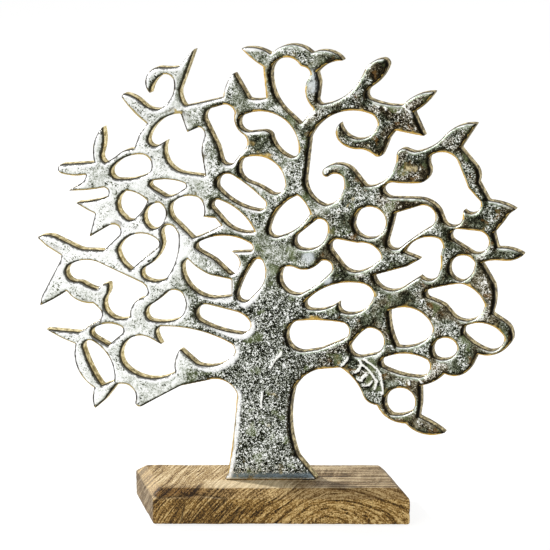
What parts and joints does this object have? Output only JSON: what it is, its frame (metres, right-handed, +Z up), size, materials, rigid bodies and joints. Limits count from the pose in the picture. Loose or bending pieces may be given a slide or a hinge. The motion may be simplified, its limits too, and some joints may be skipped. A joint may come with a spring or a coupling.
{
  "type": "tree of life sculpture",
  "caption": "Flat cast aluminium tree of life with a pierced crown of leafy boughs, standing upright on a bevelled wood block.",
  "frame": {"origin": "under the middle of the whole sculpture's width and depth, on the surface that the felt pads stand on", "axes": "+X to the right along the block, +Y from the front to the back, +Z up"},
  "size_m": [0.3774, 0.07, 0.3745],
  "materials": {
    "cast_metal": "hammered, bright on the high spots and dark in the hollows",
    "base_wood": "worn and waxed, with open grain and drying cracks",
    "fixing_steel": "zinc plated",
    "pad_felt": "felt"
  },
  "bodies": {
    "root": {"tree_casting": "cast_metal", "wood_base": "base_wood", "fixing_screws": "fixing_steel", "fixing_washers": "fixing_steel", "felt_pad_front_left": "pad_felt", "felt_pad_front_right": "pad_felt", "felt_pad_back_left": "pad_felt", "felt_pad_back_right": "pad_felt"}
  },
  "joints": []
}
